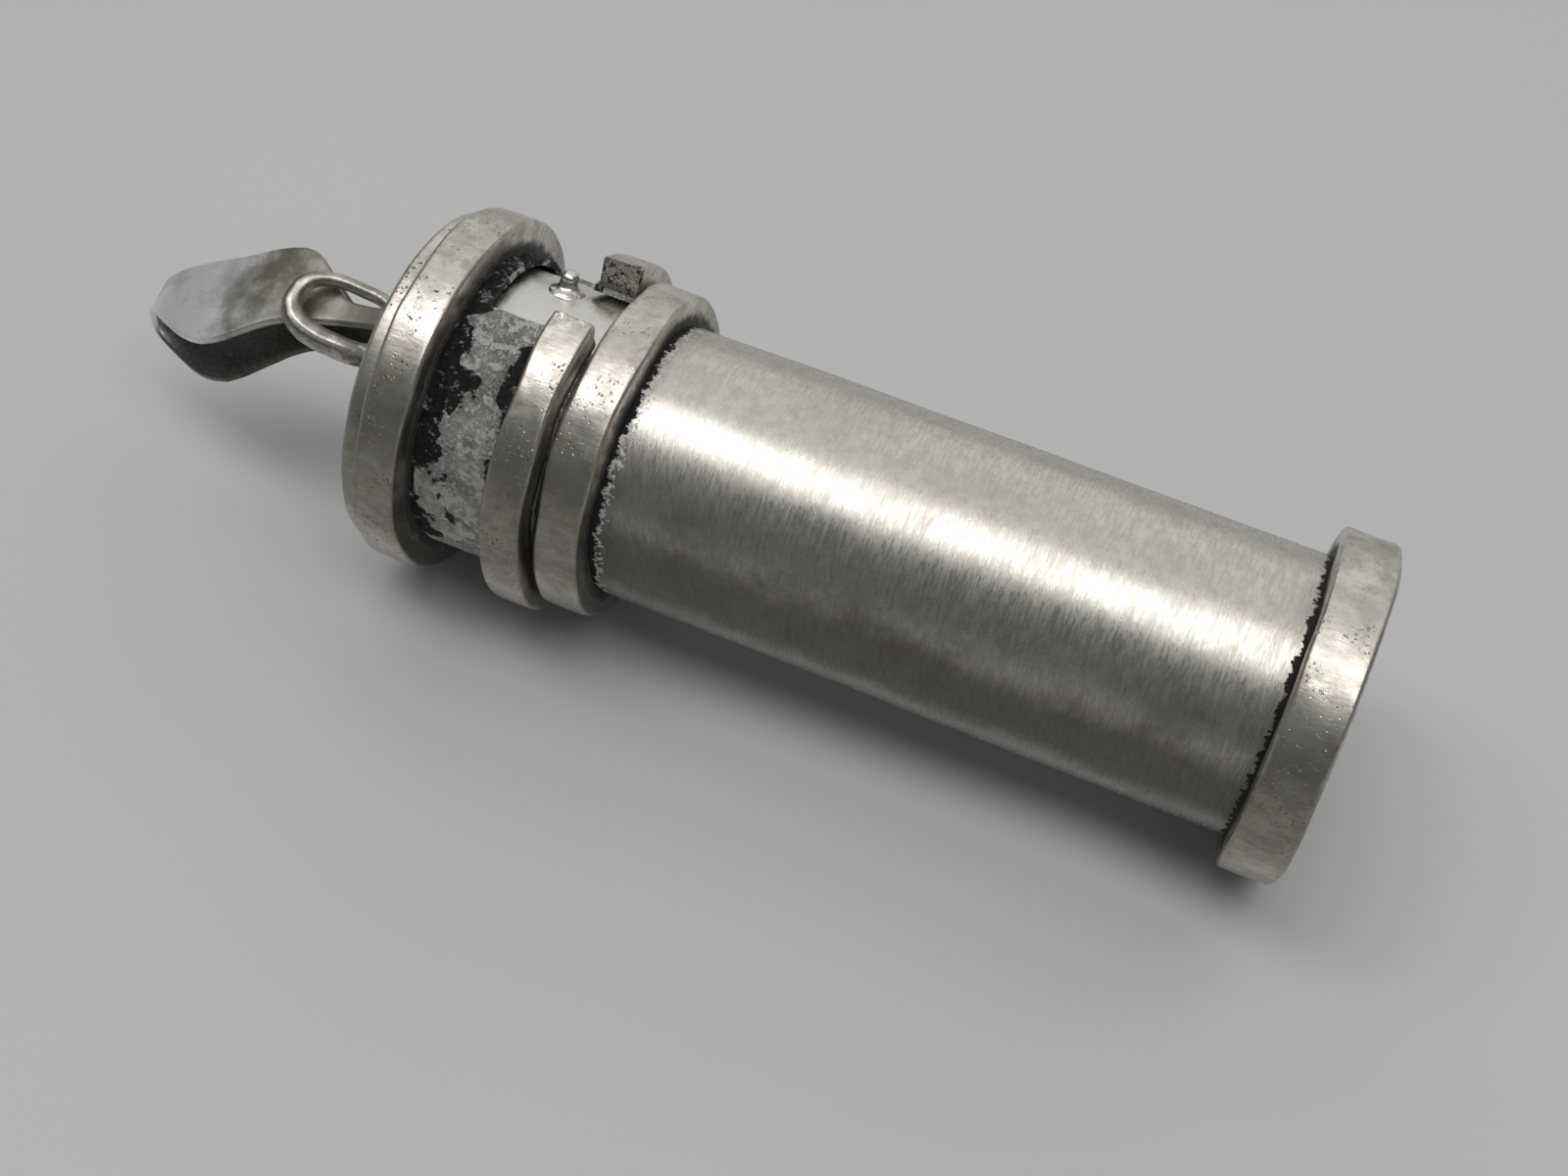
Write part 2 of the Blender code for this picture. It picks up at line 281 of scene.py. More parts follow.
def plate_mesh(name, x_range, r, edge, seed):
    """A round plate with eased edges, hammered nearly flat."""
    low, high = x_range
    line = [(low, PLATE_CENTRE)]
    line += [(low, a) for a in stretch(PLATE_STEP, r - edge, PLATE_STEP)[:-1]]
    line += corner(low + edge, r - edge, edge, 180, 90)
    line += corner(high - edge, r - edge, edge, 90, 0)
    line += [(high, a) for a in stretch(r - edge, PLATE_CENTRE, PLATE_STEP)[1:]]
    section = np.array(line)
    angles = np.linspace(0, 2 * pi, PLATE_TURNS, endpoint=False)
    points = around(section[None, :, 0], section[None, :, 1], angles[:, None])
    points = hammered(points, 0.05, 0.02, seed)
    points[..., 0] += 0.03 * (ripple(points, 2.5, seed + 5) + 0.5)
    mesh = skin(name, points, True, False)
    close_up(mesh)
    return mesh


def lock_band_mesh():
    """The C-shaped stop on the cap: a band with a gap, its two ends filed and worn."""
    section = band_section(LOCK_BAND_X, SLEEVE_R - SLEEVE_SOLDER, LOCK_BAND_R, edge=0.22)
    start = GAP_NEAR
    end = 2 * pi + GAP_FAR
    ease = 0.1 / LOCK_BAND_R
    angles = np.concatenate([[start, start + 0.3 * ease], np.linspace(start + ease, end - ease, LOCK_TURNS),
                             [end - 0.3 * ease, end]])
    points = around(section[None, :, 0], section[None, :, 1], angles[:, None])
    middle = np.array([0.5 * sum(LOCK_BAND_X), 0.5 * (SLEEVE_R + LOCK_BAND_R)])
    for row, keep in LOCK_END_KEEP.items():
        shrunk = middle + (section - middle) * keep
        points[row] = around(shrunk[:, 0], shrunk[:, 1], angles[row])
    points = hammered(points, 0.06, 0.03, 40.0)
    points[..., 0] += side_wander(points, LOCK_BAND_X, 44.0)
    points = ragged_end(points, angles, start)
    mesh = skin("lock_band", points, False, True)
    close_up(mesh)
    return mesh


def ragged_end(points, angles, start):
    """Chew the near end of the lock band, as if broken off and left."""
    near = np.clip(1 - (angles - start) * LOCK_BAND_R / 0.9, 0, 1)[:, None]
    bite = near * (0.16 * ripple(points, 0.55, 61.0) + 0.1 * ripple(points, 0.25, 66.0))
    moved = push_out(points, bite - 0.05 * near)
    moved[..., 1] -= near * 0.14 * ripple(points * np.array([1.0, 0.2, 1.0]), 0.5, 71.0)
    return moved


def window_lines():
    """Angle and length lines of the sleeve's grid, with lines on every edge of the window."""
    stops = [-pi, WINDOW_END, GAP_FAR, WINDOW_NEAR, pi]
    angles = [stretch(a, b, SLEEVE_TURN)[:-1] for a, b in zip(stops, stops[1:])]
    marks = [SLEEVE_X[0], WINDOW_X[0], WINDOW_X[1], SLEEVE_X[1]]
    lengths = [stretch(a, b, SLEEVE_STEP)[:-1] for a, b in zip(marks, marks[1:])]
    return np.concatenate(angles), np.append(np.concatenate(lengths), SLEEVE_X[1])


def in_window(angle, x):
    """True inside the L-shaped window: the slot round the sleeve or its way in from the mouth."""
    slot = WINDOW_END < angle < WINDOW_NEAR and WINDOW_X[0] < x < WINDOW_X[1]
    mouth = GAP_FAR < angle < WINDOW_NEAR and x > WINDOW_X[1]
    return slot or mouth


def sleeve_mesh():
    """The rough sheet sleeve with its L-shaped window, as a shell of grid cells."""
    angles, lengths = window_lines()
    rows, columns = len(angles), len(lengths)
    outer = around(lengths[None, :], SLEEVE_R, angles[:, None])
    inner = around(lengths[None, :], SLEEVE_BORE, angles[:, None])
    crust = 0.5 + 0.5 * ripple(outer, 1.6, 80.0)
    grain = 0.13 * crust * ripple(outer, 0.33, 84.0) + 0.07 * (ripple(outer, 1.0, 88.0) - 0.4)
    outer = push_out(outer, grain)
    shift = 0.06 * ripple(outer, 0.5, 92.0)
    outer[..., 0] += shift
    inner[..., 0] += shift
    points = np.concatenate([outer.reshape(-1, 3), inner.reshape(-1, 3)])
    middles = np.append(angles[1:], pi) - 0.5 * (np.append(angles[1:], pi) - angles)
    solid = [[not in_window(middles[i], 0.5 * (lengths[j] + lengths[j + 1]))
              for j in range(columns - 1)] for i in range(rows)]
    mesh = raw_mesh("sleeve", points, shell_faces(solid, rows, columns))
    close_up(mesh)
    return mesh


def shell_faces(solid, rows, columns):
    """Faces of a wall with holes: both sides of each solid cell and the walls round the holes."""
    under = rows * columns
    faces = []
    for i in range(rows):
        down = (i + 1) % rows
        for j in range(columns - 1):
            if not solid[i][j]:
                continue
            a = i * columns + j
            b = a + 1
            d = down * columns + j
            c = d + 1
            faces.append((a, b, c, d))
            faces.append((a + under, d + under, c + under, b + under))
            if not solid[i - 1][j]:
                faces.append((a, a + under, b + under, b))
            if not solid[down][j]:
                faces.append((c, c + under, d + under, d))
            if j == 0 or not solid[i][j - 1]:
                faces.append((d, d + under, a + under, a))
            if j == columns - 2 or not solid[i][j + 1]:
                faces.append((b, b + under, c + under, c))
    return faces


def pin_mesh():
    """The bayonet pin: a round head on a short neck, with solder drawn up round its foot."""
    line = [(TUBE_R - 0.1, 0.95), (TUBE_R + 0.04, 0.85), (TUBE_R + 0.12, 0.62), (TUBE_R + 0.3, 0.47)]
    line += [(PIN_TOP - 0.42, 0.44)]
    line += [(PIN_TOP - 0.36 + 0.36 * sin(a), PIN_R * 1.03 * cos(a)) for a in np.linspace(-0.3, 1.5, 9)]
    out = around(0.0, 1.0, PIN_ANGLE)
    side = np.array([1.0, 0.0, 0.0])
    cross = np.cross(out, side)
    turns = np.linspace(0, 2 * pi, PIN_TURNS, endpoint=False)
    rows = [side * PIN_X + out * r + w * (np.cos(turns)[:, None] * side + np.sin(turns)[:, None] * cross)
            for r, w in line]
    points = np.array(rows)
    points = push_out(points, 0.03 * ripple(points, 0.4, 7.0))
    mesh = skin("pin", points, False, True)
    close_up(mesh)
    return mesh


def own_axes(node):
    """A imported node's mesh on the whistle's own axes, in millimetres."""
    mesh = NODES[node].data.copy()
    mesh.transform(Matrix.Scale(1 / MM, 4) @ PLACE.inverted())
    return mesh


def solder_mound():
    """The low mound of solder between the cap's plate and the ring's foot, in millimetres."""
    levels = np.linspace(0.0, 1.0, 9)
    turns = np.linspace(0, 2 * pi, MOUND_TURNS, endpoint=False)
    spread = STUB_MOUND_R * (1 - levels) ** 1.6 + STUB_MOUND_TOP_R * levels
    lobes = 1 + 0.12 * np.sin(2 * turns + 1.0) + 0.07 * np.sin(5 * turns)
    wide = spread[:, None] * lobes[None, :]
    x = np.broadcast_to((DISC_X[0] + 0.12 - STUB_MOUND_HEIGHT * levels)[:, None], wide.shape)
    _, y, z = STUB_MIDDLE
    points = np.stack([x, y + wide * np.cos(turns), z + wide * np.sin(turns)], -1)
    mesh = skin("mound", points, False, True)
    mesh.transform(Matrix.Scale(1 / MM, 4))
    close_up(mesh)
    return mesh


def fuse(name, meshes, voxel, rounds):
    """Melt closed meshes, in millimetres, into one evenly meshed skin and smooth it."""
    bm = bmesh.new()
    for mesh in meshes:
        bm.from_mesh(mesh)
    joined = bpy.data.meshes.new(name)
    bm.to_mesh(joined)
    bm.free()
    holder = bpy.data.objects.new(name, joined)
    bpy.context.collection.objects.link(holder)
    remesh = holder.modifiers.new("Remesh", "REMESH")
    remesh.mode = "VOXEL"
    remesh.voxel_size = voxel
    smooth = holder.modifiers.new("Smooth", "SMOOTH")
    smooth.factor = 0.5
    smooth.iterations = rounds
    graph = bpy.context.evaluated_depsgraph_get()
    fused = bpy.data.meshes.new_from_object(holder.evaluated_get(graph))
    bpy.data.objects.remove(holder, do_unlink=True)
    return fused


def dent_mesh(mesh, size, height, swell, seed):
    """Swell and dent a fused mesh along its normals, in millimetres, and turn it to metres."""
    count = len(mesh.vertices)
    points = np.empty(count * 3)
    normals = np.empty(count * 3)
    mesh.vertices.foreach_get("co", points)
    mesh.vertex_normals.foreach_get("vector", normals)
    points = points.reshape(-1, 3)
    points += normals.reshape(-1, 3) * (swell + height * (ripple(points, size, seed) - 0.3))[:, None]
    mesh.vertices.foreach_set("co", (points * MM).ravel())
    mesh.update()


# ---- Materials ----

class Pattern:
    """The node tree of one material, with the whistle's own coordinates in millimetres."""

    def __init__(self, name):
        self.material = bpy.data.materials.new(name)
        self.material.use_nodes = True
        self.tree = self.material.node_tree
        self.surface = self.tree.nodes["Principled BSDF"]
        scale = self.tree.nodes.new("ShaderNodeVectorMath")
        scale.operation = "SCALE"
        scale.inputs["Scale"].default_value = 1 / MM
        self.link(self.tree.nodes.new("ShaderNodeTexCoord").outputs["Object"], scale.inputs[0])
        self.mm = scale.outputs[0]
        parts = self.tree.nodes.new("ShaderNodeSeparateXYZ")
        self.link(self.mm, parts.inputs[0])
        self.x, self.y, self.z = parts.outputs
        self.radius = self.math("SQRT", self.add(self.times(self.y, self.y), self.times(self.z, self.z)))
        self.angle = self.math("ARCTAN2", self.times(self.y, -1.0), self.z)

    def link(self, output, socket):
        self.tree.links.new(output, socket)

    def feed(self, socket, value):
        """Set a socket to a number or colour, or link it to an output."""
        if isinstance(value, bpy.types.NodeSocket):
            self.link(value, socket)
        elif isinstance(value, tuple):
            socket.default_value = value + (1.0,) if len(socket.default_value) == 4 else value
        else:
            socket.default_value = value

    def math(self, operation, a, b=0.0):
        node = self.tree.nodes.new("ShaderNodeMath")
        node.operation = operation
        self.feed(node.inputs[0], a)
        self.feed(node.inputs[1], b)
        return node.outputs[0]

    def add(self, a, b):
        return self.math("ADD", a, b)

    def minus(self, a, b):
        return self.math("SUBTRACT", a, b)

    def times(self, a, b):
        return self.math("MULTIPLY", a, b)

    def either(self, a, b):
        return self.math("MAXIMUM", a, b)

    def step(self, value, low, high, start=0.0, end=1.0):
        """A smooth step from start to end as the value goes from low to high."""
        node = self.tree.nodes.new("ShaderNodeMapRange")
        node.interpolation_type = "SMOOTHSTEP"
        for socket, number in zip(node.inputs[1:5], (low, high, start, end)):
            self.feed(socket, number)
        self.feed(node.inputs[0], value)
        return node.outputs[0]

    def stretched(self, factors, offset=(0.0, 0.0, 0.0)):
        """The millimetre coordinates scaled along each axis."""
        node = self.tree.nodes.new("ShaderNodeVectorMath")
        node.operation = "MULTIPLY_ADD"
        self.link(self.mm, node.inputs[0])
        node.inputs[1].default_value = factors
        node.inputs[2].default_value = offset
        return node.outputs[0]

    def sheared(self, factors, slant):
        """Like stretched, with the length sheared by the height, so that streaks slant."""
        combine = self.tree.nodes.new("ShaderNodeCombineXYZ")
        turned = self.add(self.x, self.times(self.z, slant))
        for socket, part, factor in zip(combine.inputs, (turned, self.y, self.z), factors):
            self.link(self.times(part, factor), socket)
        return combine.outputs[0]

    def noise(self, vector, scale, detail=3.0, rough=0.5):
        """Fractal noise around 0.5, with about scale features to a unit of the vector."""
        node = self.tree.nodes.new("ShaderNodeTexNoise")
        self.link(vector, node.inputs["Vector"])
        node.inputs["Scale"].default_value = scale
        node.inputs["Detail"].default_value = detail
        node.inputs["Roughness"].default_value = rough
        return node.outputs["Fac"]

    def spots(self, scale, low, high):
        """Round spots, 1 at their middles."""
        node = self.tree.nodes.new("ShaderNodeTexVoronoi")
        self.link(self.mm, node.inputs["Vector"])
        node.inputs["Scale"].default_value = scale
        return self.step(node.outputs["Distance"], low, high, 1.0, 0.0)

    def mix(self, part, one, two):
        node = self.tree.nodes.new("ShaderNodeMix")
        node.data_type = "RGBA"
        self.feed(node.inputs["Factor"], part)
        self.feed(node.inputs["A"], one)
        self.feed(node.inputs["B"], two)
        return node.outputs["Result"]

    def finish(self, color, roughness, metallic, height, depth):
        """Wire the surface; depth is how tall a height of 1 stands, in millimetres."""
        bump = self.tree.nodes.new("ShaderNodeBump")
        bump.inputs["Strength"].default_value = 1.0
        bump.inputs["Distance"].default_value = depth * MM
        self.link(height, bump.inputs["Height"])
        self.link(bump.outputs[0], self.surface.inputs["Normal"])
        self.feed(self.surface.inputs["Base Color"], color)
        self.feed(self.surface.inputs["Roughness"], roughness)
        self.feed(self.surface.inputs["Metallic"], metallic)
        return self.material


def satin(name, rough, seed, pits, soot=None, pale=PALE, deep=GREY):
    """Worn satin silver: soft blotches, fine streaks, scattered pits, a soot mask and painted shade low on
    the near side and round the back.
    """
    p = Pattern(name)
    blotch = p.step(p.noise(p.stretched((1, 1, 1), (seed, 0, 0)), 0.55, 5.0, 0.68), 0.36, 0.62)
    streak = p.noise(p.stretched((1.0, 4.0, 4.0), (seed, seed, 0)), 1.0, 4.0, 0.6)
    fine = p.noise(p.mm, 11.0, 3.0, 0.6)
    gate = p.step(p.noise(p.stretched((1, 1, 1), (0, seed, 5)), 0.6, 2.0), 0.5, 0.62)
    speck = p.step(p.noise(p.mm, 5.5, 4.0, 0.75), 0.60, 0.66)
    pit = p.times(p.times(p.either(p.spots(3.4, 0.12, 0.26), speck), gate), pits)
    color = p.mix(p.times(blotch, 0.7), pale, deep)
    # Painted shade low on the near side and fainter round the back, its edge wandering with the streaks
    color = p.mix(p.times(painted_low_shade(p, p.times(streak, 0.3)), 0.7), color, PAINTED_SHADE)
    color = p.mix(p.step(streak, 0.35, 0.75, 0.0, 0.35), color, GREY)
    tarnish = p.step(p.noise(p.stretched((1, 1, 1), (seed, 3, 0)), 0.9, 5.0, 0.7), 0.5, 0.62, 0.0, 0.5)
    color = p.mix(tarnish, color, TARNISH)
    color = p.mix(p.times(pit, 0.9), color, PIT)
    mask = soot(p) if soot else p.times(pit, 0.3)
    color = p.mix(mask, color, SOOT)
    roughness = p.add(p.times(streak, 0.16), p.add(rough - 0.08, p.times(blotch, 0.1)))
    roughness = p.add(roughness, p.times(mask, 0.35))
    metallic = p.step(mask, 0.0, 1.0, 1.0, 0.25)
    height = p.add(p.times(streak, 0.5), p.times(fine, 0.25))
    height = p.minus(height, p.add(p.times(pit, 2.5), p.times(mask, 1.0)))
    return p.finish(color, roughness, metallic, height, 0.02)


def tube_material():
    """Tube: cross scratches, jagged black lines beside the two bands, a paler smooth neck, and painted
    shade low on the near side and round the back.
    """
    p = Pattern("tube_silver")
    jag = p.noise(p.stretched((0.6, 1.0, 1.0)), 2.6, 5.0, 0.65)
    from_rim = p.minus(p.x, RIM_BAND_X[1] - 0.1)
    from_foot = p.minus(FOOT_BAND_X[0] + 0.1, p.x)
    reach = p.step(jag, 0.3, 0.7, 0.12, 0.62)
    soot = p.either(line_mask(p, from_rim, reach), line_mask(p, from_foot, p.times(reach, 0.75)))
    wide = p.add(reach, p.step(p.noise(p.mm, 5.0, 4.0), 0.35, 0.7, 0.0, 0.45))
    frost = p.times(line_mask(p, from_rim, wide), 0.75)
    neck = p.step(p.x, RIM_BAND_X[0] - 0.1, RIM_BAND_X[0] + 0.1, 1.0, 0.0)
    cross = p.noise(p.stretched((8.0, 0.9, 0.9)), 1.0, 5.0, 0.75)
    slant = p.noise(p.sheared((6.0, 0.8, 0.8), 0.55), 1.0, 5.0, 0.75)
    toward_rim = p.step(p.x, -36.0, -20.0, 1.0, 0.0)
    cross_part = p.step(toward_rim, 0.0, 1.0, 1.0, 0.5)
    scratch = p.add(p.times(cross, cross_part), p.times(slant, p.minus(1.0, cross_part)))
    blotch = p.step(p.noise(p.stretched((0.7, 1, 1)), 0.3, 6.0, 0.65), 0.36, 0.68)
    # Painted shade: darker low on the near side and round the back, its edge wandering with the blotches
    under = painted_low_shade(p, p.times(p.minus(blotch, 0.5), 0.1))
    mottle = p.step(p.noise(p.stretched((1, 1, 1), (7, 0, 0)), 1.6, 5.0, 0.7), 0.4, 0.65, 0.0, 0.45)
    color = p.mix(p.times(blotch, 0.4), PALE, GREY)
    color = p.mix(mottle, color, GREY)
    color = p.mix(p.step(scratch, 0.42, 0.62, 0.0, 0.5), color, GREY)
    # Lay the painted shade over the silver
    color = p.mix(p.times(under, 0.88), color, PAINTED_SHADE)
    color = p.mix(p.times(neck, 0.75), color, FROST)
    color = p.mix(frost, color, FROST)
    color = p.mix(soot, color, SOOT)
    roughness = p.add(p.step(scratch, 0.4, 0.62, 0.21, 0.37), p.times(blotch, 0.06))
    roughness = p.add(roughness, p.add(p.times(frost, 0.3), p.times(soot, 0.3)))
    metallic = p.times(p.step(soot, 0.0, 1.0, 1.0, 0.25), p.step(frost, 0.0, 1.0, 1.0, 0.45))
    height = p.add(p.times(scratch, p.step(neck, 0.0, 1.0, 1.0, 0.25)), p.times(frost, 0.8))
    height = p.minus(height, p.times(soot, 2.5))
    return p.finish(color, roughness, metallic, height, 0.032)


def painted_low_shade(p, wander):
    """Painted shade: strongest low on the whistle's near side, and fainter round the back."""
    angle = p.add(p.angle, wander)
    near = p.times(p.step(angle, 0.85, 1.4), p.step(angle, 1.7, 2.0, 1.0, 0.45))
    return p.either(near, p.step(angle, -0.9, -0.45, 0.6, 0.0))


def line_mask(p, distance, reach):
    """1 where a distance is between 0 and a reach, with a crisp broken edge."""
    inside = p.step(p.minus(distance, reach), -0.03, 0.03, 1.0, 0.0)
    return p.times(inside, p.step(distance, -0.4, -0.35))


def root_soot(root):
    """Tarnish in the corner where a band is soldered on, at that radius, and up its sides."""
    def mask(p):
        grime = p.noise(p.mm, 1.6, 4.0, 0.6)
        return p.step(p.minus(p.radius, p.times(grime, 0.9)), root - 0.15, root + 0.35, 0.85, 0.0)
    return mask


def sleeve_material():
    """Cap sleeve: grey crust broken by black patches beside the flange and the lock band."""
    p = Pattern("sleeve_silver")
    patch = p.noise(p.stretched((1.0, 1, 1), (4, 0, 0)), 0.42, 6.0, 0.62)
    grain = p.noise(p.mm, 4.5, 5.0, 0.7)
    from_flange = p.minus(p.x, FLANGE_X[1])
    from_lock = p.minus(LOCK_BAND_X[0], p.x)
    flange_reach = p.step(patch, 0.42, 0.60, 0.15, 2.3)
    lock_reach = p.step(patch, 0.44, 0.60, 0.1, 1.1)
    soot = p.either(line_mask(p, from_flange, flange_reach), line_mask(p, from_lock, lock_reach))
    spark = p.times(p.step(p.noise(p.mm, 2.2, 5.0, 0.7), 0.56, 0.62), 0.8)
    soot = p.times(soot, p.step(spark, 0.0, 0.8, 1.0, 0.2))
    tone = p.step(patch, 0.35, 0.65)
    flake = p.step(p.noise(p.stretched((1, 1, 1), (0, 9, 0)), 1.5, 6.0, 0.7), 0.48, 0.54)
    color = p.mix(tone, CRUST_PALE, CRUST_DEEP)
    color = p.mix(p.times(flake, 0.55), color, FROST)
    color = p.mix(p.step(grain, 0.45, 0.7, 0.0, 0.5), color, FROST)
    color = p.mix(soot, color, SOOT)
    roughness = p.add(p.step(grain, 0.35, 0.65, 0.62, 0.3), p.times(soot, 0.15))
    metallic = p.step(soot, 0.0, 1.0, 0.9, 0.3)
    height = p.add(grain, p.add(p.times(patch, 0.8), p.times(flake, 0.5)))
    return p.finish(color, roughness, metallic, height, 0.16)


def lock_end_soot(p):
    """Dark pitting on the two ends of the lock band, and tarnish at its root."""
    near = p.step(p.math("ABSOLUTE", p.minus(p.angle, GAP_NEAR)), 0.0, 0.09, 1.0, 0.0)
    far = p.step(p.math("ABSOLUTE", p.minus(p.angle, GAP_FAR)), 0.0, 0.03, 1.0, 0.0)
    grime = p.noise(p.mm, 3.2, 5.0, 0.7)
    ends = p.add(p.times(near, 0.45), far)
    bitten = p.times(ends, p.step(grime, 0.47, 0.6))
    root = p.step(p.minus(p.radius, p.times(grime, 0.6)), 7.45, 7.9, 0.8, 0.0)
    return p.either(bitten, root)


def above_eye(p):
    """How far a point of the bail lies above its hinge line, square to the strap, in mm."""
    parts = (p.times(p.x, BAIL_UP[0]), p.times(p.y, BAIL_UP[1]), p.times(p.z, BAIL_UP[2]))
    return p.minus(p.add(p.add(parts[0], parts[1]), parts[2]), BAIL_UP.dot(BAIL_EYE))


def bail_material():
    """Bail: pale grey sheet with a brownish green stain over its crest, and painted shade on the strap
    beneath its hinge line.
    """
    p = Pattern("bail_silver")
    cloud = p.noise(p.stretched((1, 1, 1), (2, 1, 0)), 0.4, 5.0, 0.6)
    fine = p.noise(p.mm, 9.0, 4.0, 0.6)
    rub = p.noise(p.stretched((2.0, 9.0, 9.0)), 0.8, 4.0, 0.6)
    crest = p.step(p.add(p.x, p.times(cloud, 5.0)), -56.5, -53.5)
    stain = p.times(crest, p.step(cloud, 0.34, 0.6, 0.6, 1.0))
    stain = p.either(stain, p.step(p.x, -53.2, -51.2, 0.0, 0.92))
    color = p.mix(p.step(cloud, 0.45, 0.65), STRAP_PALE, STRAP_DEEP)
    color = p.mix(p.times(stain, 0.9), color, STRAP_STAIN)
    # Painted shade on the lower strap, beneath the hinge line
    painted_shade_below = p.step(above_eye(p), 0.1, 0.6, 0.92, 0.0)
    color = p.mix(painted_shade_below, color, PAINTED_SHADE)
    # The stain and the painted shade together, which make the strap more metallic where they lie
    stain_and_shade = p.either(stain, painted_shade_below)
    color = p.mix(p.step(rub, 0.5, 0.75, 0.0, 0.3), color, GREY)
    roughness = p.add(0.32, p.add(p.times(cloud, 0.15), p.times(stain, 0.1)))
    height = p.add(p.times(rub, 0.6), p.times(fine, 0.5))
    return p.finish(color, roughness, p.step(stain_and_shade, 0.0, 0.8, 0.62, 0.95), height, 0.02)


def ring_material():
    """Ring wire: polished, with a dull mottled foot where it is soldered."""
    p = Pattern("wire_silver")
    cloud = p.noise(p.mm, 1.4, 4.0, 0.6)
    fine = p.noise(p.mm, 8.0, 4.0, 0.65)
    foot = p.times(p.step(p.x, -51.3, -49.8), p.step(p.y, -1.6, -0.6, 1.0, 0.25))
    dull = p.times(foot, p.step(cloud, 0.35, 0.6))
    color = p.mix(p.step(cloud, 0.35, 0.6), WIRE_PALE, WIRE_DEEP)
    color = p.mix(p.times(dull, 0.8), color, WIRE_FOOT)
    roughness = p.add(0.28, p.add(p.times(dull, 0.3), p.times(fine, 0.12)))
    height = p.add(p.times(fine, 0.5), p.times(dull, 1.5))
    return p.finish(color, roughness, 1.0, height, 0.02)


def leather_material():
    """Seal: creased brown leather."""
    p = Pattern("seal_leather")
    grain = p.noise(p.mm, 3.0, 6.0, 0.65)
    crease = p.spots(2.2, 0.05, 0.4)
    color = p.mix(p.step(grain, 0.35, 0.65), LEATHER_DEEP, LEATHER_PALE)
    return p.finish(color, p.step(grain, 0.3, 0.7, 0.6, 0.85), 0.0, p.add(grain, crease), 0.06)


# ---- Pieces ----

def build_tube_side():
    foot = satin("foot_band_silver", rough=0.3, seed=11.0, pits=0.5, soot=root_soot(TUBE_R))
    rim = satin("rim_band_silver", rough=0.3, seed=23.0, pits=0.5, soot=root_soot(TUBE_R))
    show("tube_piece", tube_mesh(), "tube", tube_material(), "main_tube")
    foot_ring = band_mesh("foot_band", FOOT_BAND_X, TUBE_R - TUBE_SOLDER, FOOT_BAND_R, seed=12.0, edge=0.3)
    show("foot_band_piece", foot_ring, "tube", foot, "foot_band")
    rim_ring = band_mesh("rim_band", RIM_BAND_X, TUBE_R - TUBE_SOLDER, RIM_BAND_R, seed=31.0)
    show("rim_band_piece", rim_ring, "tube", rim, "rim_band")
    plate = plate_mesh("foot_plate", FOOT_PLATE_X, FOOT_PLATE_R, edge=0.15, seed=15.0)
    plate_silver = satin("foot_plate_silver", rough=0.36, seed=37.0, pits=0.8)
    show("foot_plate_piece", plate, "tube", plate_silver, "foot_disc")
    pin_silver = satin("pin_silver", rough=0.24, seed=5.0, pits=0.3, pale=FROST, deep=PALE)
    show("pin_piece", pin_mesh(), "tube", pin_silver, "lock_pin")


def build_cap_side():
    show("sleeve_piece", sleeve_mesh(), "cap", sleeve_material(), "cap_sleeve", 60.0)
    lock = satin("lock_band_silver", rough=0.3, seed=47.0, pits=0.9, soot=lock_end_soot)
    show("lock_band_piece", lock_band_mesh(), "cap", lock, "lock_band")
    flange = satin("flange_silver", rough=0.3, seed=53.0, pits=1.0, soot=root_soot(SLEEVE_R))
    flange_ring = band_mesh("flange", FLANGE_X, SLEEVE_R - SLEEVE_SOLDER, FLANGE_R, seed=57.0, edge=0.26)
    show("flange_piece", flange_ring, "cap", flange, "flange_band")
    end = satin("cap_plate_silver", rough=0.34, seed=59.0, pits=0.8)
    cap_plate = plate_mesh("cap_plate", DISC_X, DISC_R, edge=0.28, seed=63.0)
    show("cap_plate_piece", cap_plate, "cap", end, "cap_disc")


def build_hanging_parts():
    ring = fuse("ring", [own_axes("wire_ring"), solder_mound()], RING_VOXEL, rounds=8)
    dent_mesh(ring, size=0.8, height=0.035, swell=0.01, seed=5.0)
    show("ring_piece", ring, "cap", ring_material(), "wire_ring", 80.0)
    strap = fuse("strap", [own_axes("strap_bail")], STRAP_VOXEL, rounds=6)
    dent_mesh(strap, size=2.2, height=0.04, swell=0.0, seed=8.0)
    show("bail_piece", strap, "bail", bail_material(), "strap_bail", 80.0)


def dress_hidden_washer():
    washer = NODES["seal_washer"]
    washer.data.materials.clear()
    washer.data.materials.append(leather_material())


# ---- Stage ----

def floor_material():
    p = Pattern("pale_floor")
    tone = p.noise(p.mm, 0.02, 2.0)
    p.feed(p.surface.inputs["Base Color"], p.mix(tone, *FLOOR_TONES))
    p.surface.inputs["Roughness"].default_value = 0.55
    return p.material


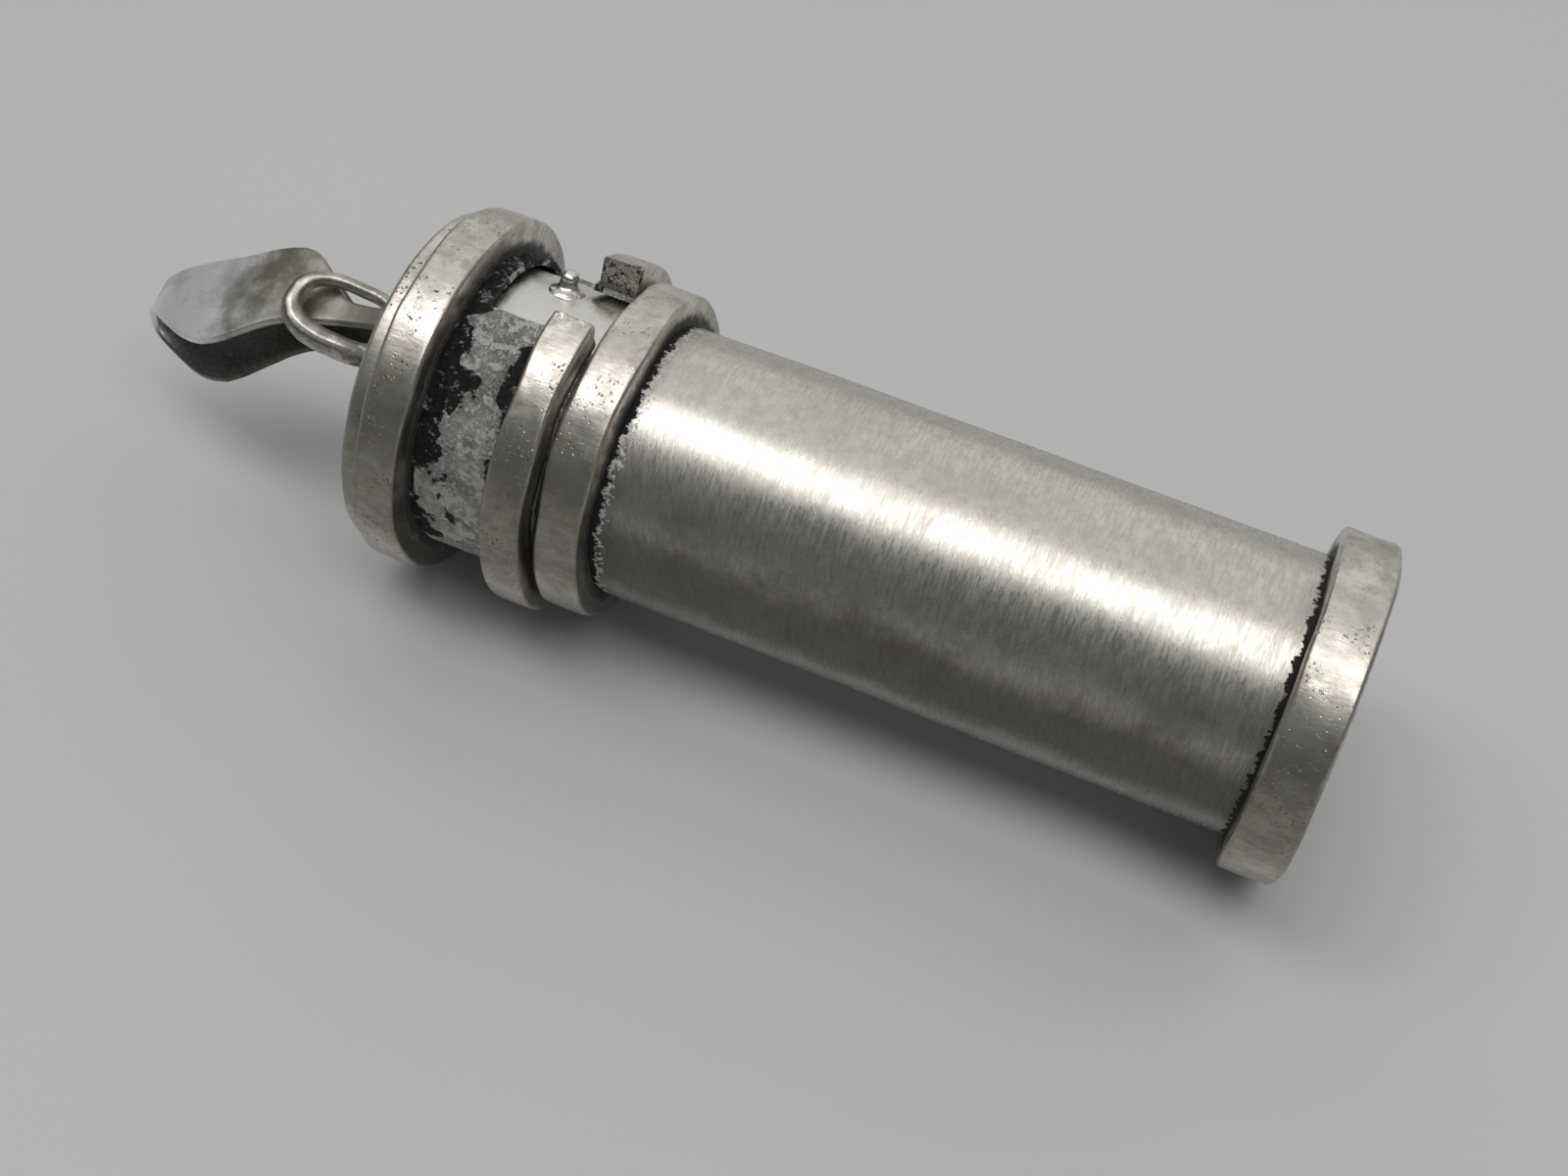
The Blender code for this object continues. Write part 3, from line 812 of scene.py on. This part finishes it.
def build_floor():
    mesh = bpy.data.meshes.new("floor")
    side = 1.5
    corners = [(-side, -side, 0), (side, -side, 0), (side, side, 0), (-side, side, 0)]
    mesh.from_pydata(corners, [], [(0, 1, 2, 3)])
    mesh.materials.append(floor_material())
    floor = bpy.data.objects.new("floor", mesh)
    bpy.context.collection.objects.link(floor)


def add_softbox(name, azimuth, tilt, distance, size, power):
    """An area light over the whistle; tilt is from straight up toward the azimuth."""
    data = bpy.data.lights.new(name, "AREA")
    data.shape = "RECTANGLE"
    data.size, data.size_y = size
    data.energy = power
    light = bpy.data.objects.new(name, data)
    bpy.context.collection.objects.link(light)
    way = Vector((sin(azimuth) * sin(tilt), cos(azimuth) * sin(tilt), cos(tilt)))
    light.location = Vector((0, 0, 0.01)) + way * distance
    light.rotation_euler = way.to_track_quat("Z", "Y").to_euler()


def build_light():
    world = bpy.data.worlds.new("studio")
    world.use_nodes = True
    sky = world.node_tree.nodes["Background"].inputs
    sky["Color"].default_value = (0.92, 0.96, 1.0, 1.0)
    sky["Strength"].default_value = 0.11
    bpy.context.scene.world = world
    key_way = {"azimuth": radians(190), "tilt": radians(12), "distance": 0.6}
    add_softbox("key", **key_way, size=(1.0, 0.24), power=2.3)
    back_way = {"azimuth": 0.0, "tilt": radians(46), "distance": 0.8}
    add_softbox("back", **back_way, size=(1.4, 1.25), power=3.0)


def build_camera():
    data = bpy.data.cameras.new("camera")
    data.lens = CAMERA_LENS
    data.sensor_width = 36.0
    data.clip_start = 0.001
    camera = bpy.data.objects.new("camera", data)
    bpy.context.collection.objects.link(camera)
    up = CAMERA_RIGHT.cross(CAMERA_FORWARD)
    facing = Matrix((CAMERA_RIGHT, up, -CAMERA_FORWARD)).transposed().to_4x4()
    camera.matrix_world = PLACE @ Matrix.Translation(Vector(CAMERA_AT) * MM) @ facing
    bpy.context.scene.camera = camera


build_tube_side()
build_cap_side()
build_hanging_parts()
dress_hidden_washer()
build_floor()
build_light()
build_camera()
bpy.context.scene.view_settings.view_transform = "Standard"
